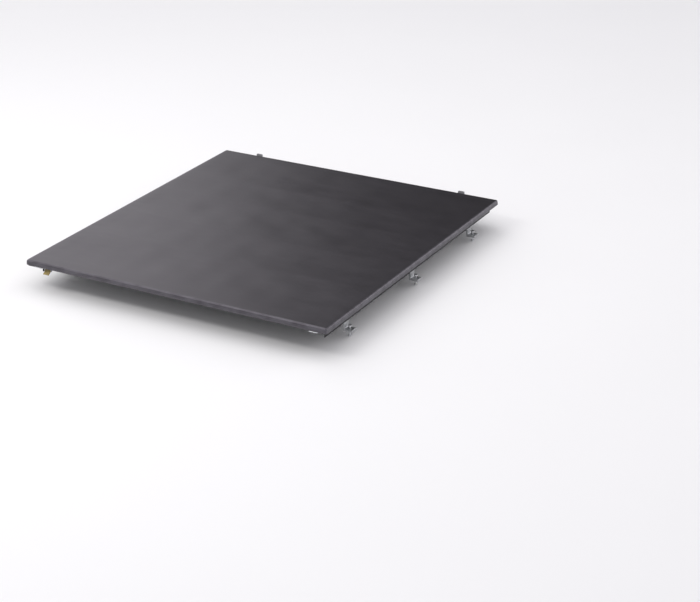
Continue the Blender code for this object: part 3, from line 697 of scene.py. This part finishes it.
# ---------------------------------------------------------------- small things on the sheet
def capsule(centre, along, outward, length, radius):
    """A stitch: a short rounded lozenge lying along the hem. Returns points and faces."""
    side = np.cross(along, outward)
    stations = ((-0.5, 0.0), (-0.42, 0.75), (0.0, 1.0), (0.42, 0.75), (0.5, 0.0))
    points = []
    for t, width in stations:
        middle = centre + along * (t * length) + outward * (radius * 0.5 * width)
        if width == 0.0:
            points.append(middle)
            continue
        for n in range(6):
            turn = math.tau * n / 6
            points.append(middle + (side * math.cos(turn) + outward * math.sin(turn)) * radius * width)
    faces = [(0, 1 + (n + 1) % 6, 1 + n) for n in range(6)]
    for ring in range(2):
        low = 1 + 6 * ring
        faces += [(low + n, low + (n + 1) % 6, low + 6 + (n + 1) % 6, low + 6 + n)
                  for n in range(6)]
    end = len(points) - 1
    faces += [(13 + n, 13 + (n + 1) % 6, end) for n in range(6)]
    return np.array(points), faces


def stitches(low, high, front, rear):
    """The hem's seam within a slice from low to high, and across its front or rear lip."""
    depth = SKIRT - HEM_DEPTH + 0.0021
    made = []
    for side in (-1, 1):
        for n in range(math.ceil(low / STITCH_PITCH), math.ceil(high / STITCH_PITCH)):
            y = n * STITCH_PITCH
            if not EDGE_REAR < y < EDGE_FRONT:
                continue
            wander = float(skirt_wander(np.array(y), np.array(depth)))
            centre = np.array([side * (EDGE_X + SHOULDER + HEM_STEP + wander), y,
                               float(top_height(side * EDGE_X, y)) - depth])
            made.append((centre, np.array([0, 1.0, 0.06 * side]), np.array([side, 0, 0.0])))
    for wanted, edge, heading in ((front, EDGE_FRONT, 1), (rear, EDGE_REAR, -1)):
        if not wanted:
            continue
        for n in range(math.ceil(-EDGE_X / STITCH_PITCH), math.ceil(EDGE_X / STITCH_PITCH)):
            x = n * STITCH_PITCH
            wander = float(skirt_wander(np.array(x), np.array(depth)))
            centre = np.array([x, edge + heading * (SHOULDER + HEM_STEP + wander),
                               float(top_height(x, edge)) - depth])
            made.append((centre, np.array([1.0, 0, 0.06]), np.array([0, heading, 0.0])))
    return made


def tape_strip(low, high, side):
    """The loop tape sewn under the sheet's edge, as a thin closed strip."""
    ys = np.array(spaced(low, high, 2 * GRID_Y) + [high])
    outer = side * TAPE_OUTER_X
    inner = side * (TAPE_OUTER_X - TAPE_WIDTH)
    points, faces = [], []
    for y in ys:
        under = float(top_height(side * EDGE_X, y)) - VINYL - 0.00005
        for x, z in ((inner, under), (outer, under), (outer, under - LOOP_THICKNESS),
                     (inner, under - LOOP_THICKNESS)):
            points.append((x, y, z))
    for n in range(len(ys) - 1):
        for k in range(4):
            a, b = 4 * n + k, 4 * n + (k + 1) % 4
            face = (a, b, b + 4, a + 4)
            faces.append(face if side < 0 else face[::-1])
    ends = [(3, 2, 1, 0), tuple(4 * (len(ys) - 1) + k for k in range(4))]
    faces += ends if side < 0 else [face[::-1] for face in ends]
    return np.array(points), faces


def hook_tapes():
    """The hook tape stuck along each rail's top: a thin strip with rolled edges."""
    half = TAPE_WIDTH / 2
    for side, word in ((-1, "left"), (1, "right")):
        rail = f"side_rail_{word}"
        low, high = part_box(rail)
        front_end = high.y - TAPE_FRONT_GAP
        ys = np.array(spaced(low.y + 0.003, front_end, 0.006) + [front_end])
        section = [(-half, 0.0), (-half + 0.0001, 0.0002), (-half + 0.0010, HOOK_THICKNESS),
                   (half - 0.0010, HOOK_THICKNESS), (half - 0.0001, 0.0002), (half, 0.0)]
        points = []
        for y in ys:
            middle = side * (TAPE_OUTER_X - half) + 0.00025 * math.sin(y / 0.083)
            points += [(middle + across, y, RAIL_TOP + 0.00002 + up) for across, up in section]
        count = len(section)
        faces = [(count * n + k, count * (n + 1) + k, count * (n + 1) + (k + 1) % count,
                  count * n + (k + 1) % count)
                 for n in range(len(ys) - 1) for k in range(count)]
        last = count * (len(ys) - 1)
        faces += [tuple(range(count)), tuple(last + k for k in reversed(range(count)))]
        tape = new_object(f"hook_tape_{word}", points, faces, [HOOK_TAPE], smooth=False)
        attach(tape, "root")


def latch_springs():
    """Copies of the CAD's latch springs, carried by the last strip in place of the CAD's own, which are hidden."""
    for word, inwards in (("left", 1), ("right", -1)):
        node_name = f"latch_spring_{word}"
        spring = bpy.data.objects.new(f"coil_{word}", frame["nodes"][node_name].data.copy())
        bpy.context.scene.collection.objects.link(spring)
        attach(spring, f"deck_{STRIPS:02d}")
        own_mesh(spring)
        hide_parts(node_name)


def vinyl_slices():
    """Cuts the whole sheet into slices and makes each one a closed object."""
    points, faces, kinds, slices, places, sections = whole_sheet()
    flat = face_normals(points, faces)
    smooth = smooth_normals(points, faces, flat)
    marks = [EDGE_FRONT, *CUTS, EDGE_REAR]
    made = []
    for number in range(STRIPS + 2):
        chosen = np.nonzero(slices == number)[0]
        own_faces = [faces[n] for n in chosen]
        own_kinds = list(kinds[chosen])
        normals = [smooth[v] for face in own_faces for v in face]
        for cut, faces_rear in ((number, True), (number - 1, False)):
            if cut not in sections or not 0 <= cut <= STRIPS:
                continue
            outer, inner = sections[cut]
            for a, b, c, d in zip(outer, outer[1:], inner[1:], inner):
                face = (a, b, c, d) if not faces_rear else (d, c, b, a)
                own_faces.append(face)
                own_kinds.append(1)
                normals += [np.array([0.0, -1.0 if faces_rear else 1.0, 0.0])] * 4
        used = sorted({v for face in own_faces for v in face})
        place_of = {v: n for n, v in enumerate(used)}
        own_points = [points[v] for v in used]
        own_places = [places[v] for v in used]
        own_faces = [tuple(place_of[v] for v in face) for face in own_faces]

        front_edge, rear_edge = marks[number], marks[number + 1]
        extras = []
        for centre, along, outward in stitches(rear_edge, front_edge, number == 0,
                                               number == STRIPS + 1):
            extras.append((*capsule(centre, along, outward, STITCH_LENGTH, STITCH_RADIUS), 2))
        tape_low = max(rear_edge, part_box("side_rail_left")[0].y)
        tape_high = min(front_edge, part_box("side_rail_left")[1].y - TAPE_FRONT_GAP)
        if tape_high - tape_low > 0.01:
            for side in (-1, 1):
                extras.append((*tape_strip(tape_low, tape_high, side), 3))
        for extra_points, extra_faces, kind in extras:
            start = len(own_points)
            own_points += list(extra_points)
            own_places += [p[:2] + (p[2], 0.0) for p in extra_points]
            flat_extra = face_normals(extra_points, extra_faces)
            rounded = smooth_normals(extra_points, extra_faces, flat_extra)
            for face, normal in zip(extra_faces, flat_extra):
                own_faces.append(tuple(v + start for v in face))
                own_kinds.append(kind)
                if kind == 2:
                    normals += [rounded[v] for v in face]
                else:
                    normals += [normal / np.linalg.norm(normal)] * len(face)
        if number == 0:
            name = "vinyl_front"
        elif number == STRIPS + 1:
            name = "vinyl_rear"
        else:
            name = f"vinyl_{number:02d}"
        made.append(new_object(name, own_points, own_faces,
                               [VINYL_TOP, BACKING, THREAD, LOOP_TAPE], own_kinds, True,
                               own_places, normals))
    return made


def lay_vinyl():
    """Attaches the front slice to the root and the rear slice to the last strip, leaves the middle slices in
    place, and hides the CAD deck parts that the slices replace.
    """
    slices = vinyl_slices()
    lip = SHOULDER * math.pi / 2 + SKIRT - SHOULDER
    marks = [EDGE_FRONT, *CUTS, EDGE_REAR]
    for number, piece in enumerate(slices):
        length = marks[number] - marks[number + 1]
        if number == 0:
            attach(piece, "root")
            length += lip
        elif number == STRIPS + 1:
            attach(piece, f"deck_{STRIPS:02d}")
            length += lip
        else:
            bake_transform(piece)
    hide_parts("deck_front")
    for number in range(1, STRIPS + 1):
        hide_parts(f"deck_strip_{number:02d}")


# ---------------------------------------------------------------- floor, light and camera
def place_floor():
    floor_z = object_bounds()[0][2] - FLOOR_GAP
    corners = [(x * FLOOR_HALF, y * FLOOR_HALF, floor_z)
               for x, y in ((-1, -1), (1, -1), (1, 1), (-1, 1))]
    new_object("floor", corners, [(0, 1, 2, 3)], [floor_material()], smooth=False)


def light_world():
    """Bright surroundings with a darker, softly edged part beyond the cover's front.

    Headings are degrees to the left of +Y, and heights are degrees above the horizon.
    """
    world = bpy.data.worlds.new("studio")
    bpy.context.scene.world = world
    world.use_nodes = True
    tree = world.node_tree
    direction = node(tree, "TexCoord").outputs["Generated"]
    parts = node(tree, "SeparateXYZ", Vector=direction)
    leftwards = math_node(tree, "MULTIPLY", parts.outputs["X"], -1.0)
    heading = math_node(tree, "ARCTAN2", leftwards, parts.outputs["Y"])
    degrees = math_node(tree, "MULTIPLY", heading, 180 / math.pi)
    height = math_node(tree, "MULTIPLY", math_node(tree, "ARCSINE", parts.outputs["Z"]),
                       180 / math.pi)
    # The left wall starts at an edge that is sharp near the horizon and softer above it.
    softness = spread(tree, height, 1.5, 6.0, 20.0, 25.5)
    middle = spread(tree, height, 33.7, 34.5, 20.0, 25.5)
    across = math_node(tree, "DIVIDE", math_node(tree, "SUBTRACT", degrees, middle), softness)
    left_wall = math_node(tree, "MULTIPLY", spread(tree, across, 0.0, 1.42, -1.0, 1.0, True),
                          spread(tree, degrees, 1.0, 0.45, 70.0, 105.0, True))
    # The right wall has a brighter upright band that the cover's right edge picks up.
    right_wall = math_node(tree, "ADD", spread(tree, degrees, 0.0, 2.5, -12.0, -24.0, True),
                           spread(tree, degrees, 0.0, -1.3, -33.0, -43.0, True))
    right_wall = math_node(tree, "MULTIPLY", right_wall,
                           spread(tree, degrees, 1.0, 0.65, -75.0, -110.0, True))
    right_wall = math_node(tree, "MULTIPLY", right_wall,
                           spread(tree, height, 1.0, 0.25, 34.0, 52.0, True))
    above = spread(tree, height, 0.0, 0.75, 28.0, 65.0, True)
    bright = math_node(tree, "MAXIMUM", math_node(tree, "MAXIMUM", left_wall, right_wall), above)
    level = math_node(tree, "ADD", bright, 0.03)
    background = tree.nodes["Background"]
    background.inputs["Color"].default_value = (1.0, 0.985, 1.02, 1.0)
    tree.links.new(level, background.inputs["Strength"])


def place_lights():
    """A large soft light overhead, and a long one behind that rims the rear edge."""
    for name, place, tilt, size, power in (
            ("overhead", (-0.6, 0.2, 4.6), 0.0, (6.0, 5.0), 50.0),
            ("rear_strip", (-3.05, -3.2, 4.2), 0.51, (4.2, 1.0), 90.0)):
        light = bpy.data.lights.new(name, "AREA")
        light.shape = "RECTANGLE"
        light.size, light.size_y = size
        light.energy = power
        light.color = (1.0, 0.985, 0.965)
        lamp = bpy.data.objects.new(name, light)
        lamp.location = place
        lamp.rotation_euler = (tilt, 0.0, 0.0)
        bpy.context.scene.collection.objects.link(lamp)


def place_camera():
    data = bpy.data.cameras.new("camera")
    data.lens = LENS
    data.sensor_width = 36.0
    data.clip_end = 200.0
    camera = bpy.data.objects.new("camera", data)
    back = Vector((math.sin(AZIMUTH) * math.cos(ELEVATION),
                   -math.cos(AZIMUTH) * math.cos(ELEVATION), math.sin(ELEVATION)))
    right = Vector((math.cos(AZIMUTH), math.sin(AZIMUTH), 0.0))
    up = back.cross(right)
    turned_right = right * math.cos(ROLL) + up * math.sin(ROLL)
    turned_up = up * math.cos(ROLL) - right * math.sin(ROLL)
    turn = Matrix((turned_right, turned_up, back)).transposed()
    camera.matrix_world = Matrix.Translation(CAMERA_PLACE) @ turn.to_4x4()
    bpy.context.scene.collection.objects.link(camera)
    bpy.context.scene.camera = camera


place_camera()
dress_cad_nodes()
lay_vinyl()
hook_tapes()
latch_springs()
light_world()
place_lights()
place_floor()
bpy.context.scene.view_settings.view_transform = "Standard"
